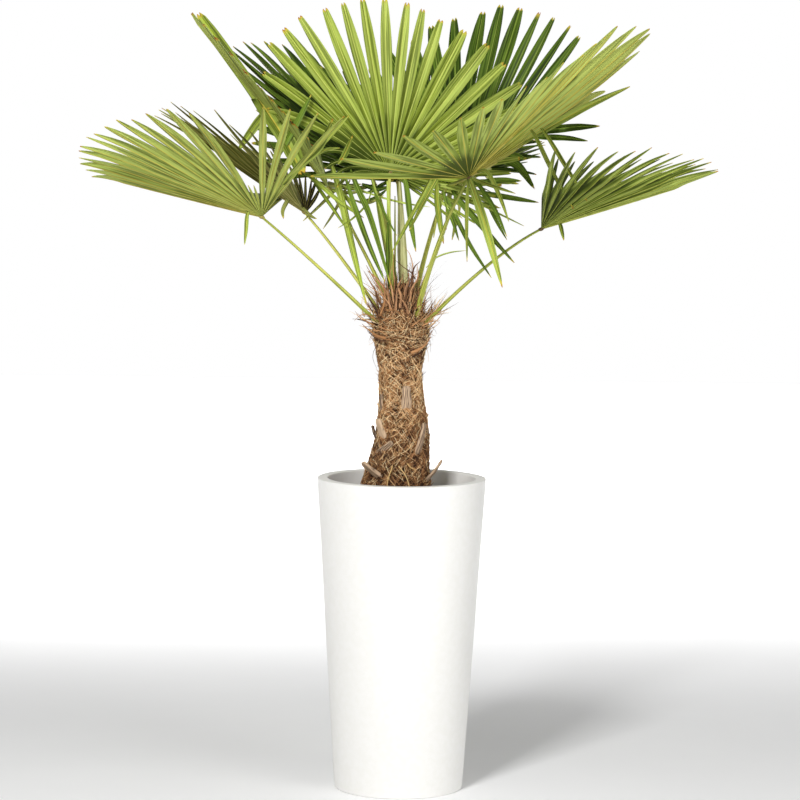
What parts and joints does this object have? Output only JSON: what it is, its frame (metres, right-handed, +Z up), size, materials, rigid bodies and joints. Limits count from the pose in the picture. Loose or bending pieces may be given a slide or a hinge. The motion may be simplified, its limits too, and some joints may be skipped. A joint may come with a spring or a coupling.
{
  "type": "potted windmill palm",
  "caption": "Windmill palm with a fibre-covered trunk and a crown of pleated fan leaves, planted in a tall round tapered white planter.",
  "frame": {"origin": "centre of the planter's flat underside, on the trunk's axis", "axes": "+Z up the trunk; -Y towards the side that the picture shows; +X to the right in that view"},
  "size_m": [1.4937, 1.3389, 1.8657],
  "materials": {
    "pot": "smooth satin white glaze-like paint",
    "soil": "coarse potting bark and peat",
    "trunk": "shaggy brown fibre with grey-brown cut leaf bases",
    "young_leaf": "folded young leaf, matt grey-green",
    "stalk": "smooth yellow-green leaf stalk",
    "leaf_bright": "satin yellow-green, fine lengthwise veins",
    "leaf_pale": "grey-green underside with yellow ribs",
    "leaf_mid": "satin mid green",
    "leaf_dark": "satin dark green"
  },
  "bodies": {
    "root": {"pot": "pot", "soil": "soil", "trunk": "trunk", "spear": "young_leaf", "stalk_centre": "stalk", "stalk_front_right": "stalk", "stalk_far_left": "stalk", "stalk_far_right": "stalk", "stalk_high_left": "stalk", "stalk_high_right": "stalk", "stalk_left": "stalk", "stalk_back_left": "stalk", "stalk_back": "stalk", "stalk_back_right": "stalk", "blade_centre_minus": "leaf_bright", "blade_centre_plus": "leaf_bright", "blade_front_right_minus": "leaf_pale", "blade_front_right_plus": "leaf_pale", "blade_far_left_minus": "leaf_pale", "blade_far_left_plus": "leaf_pale", "blade_far_right_minus": "leaf_mid", "blade_far_right_plus": "leaf_mid", "blade_high_left_minus": "leaf_mid", "blade_high_left_plus": "leaf_mid", "blade_high_right_minus": "leaf_dark", "blade_high_right_plus": "leaf_dark", "blade_left_minus": "leaf_dark", "blade_left_plus": "leaf_dark", "blade_back_left_minus": "leaf_dark", "blade_back_left_plus": "leaf_dark", "blade_back_minus": "leaf_dark", "blade_back_plus": "leaf_dark", "blade_back_right_minus": "leaf_dark", "blade_back_right_plus": "leaf_dark"}
  },
  "joints": []
}
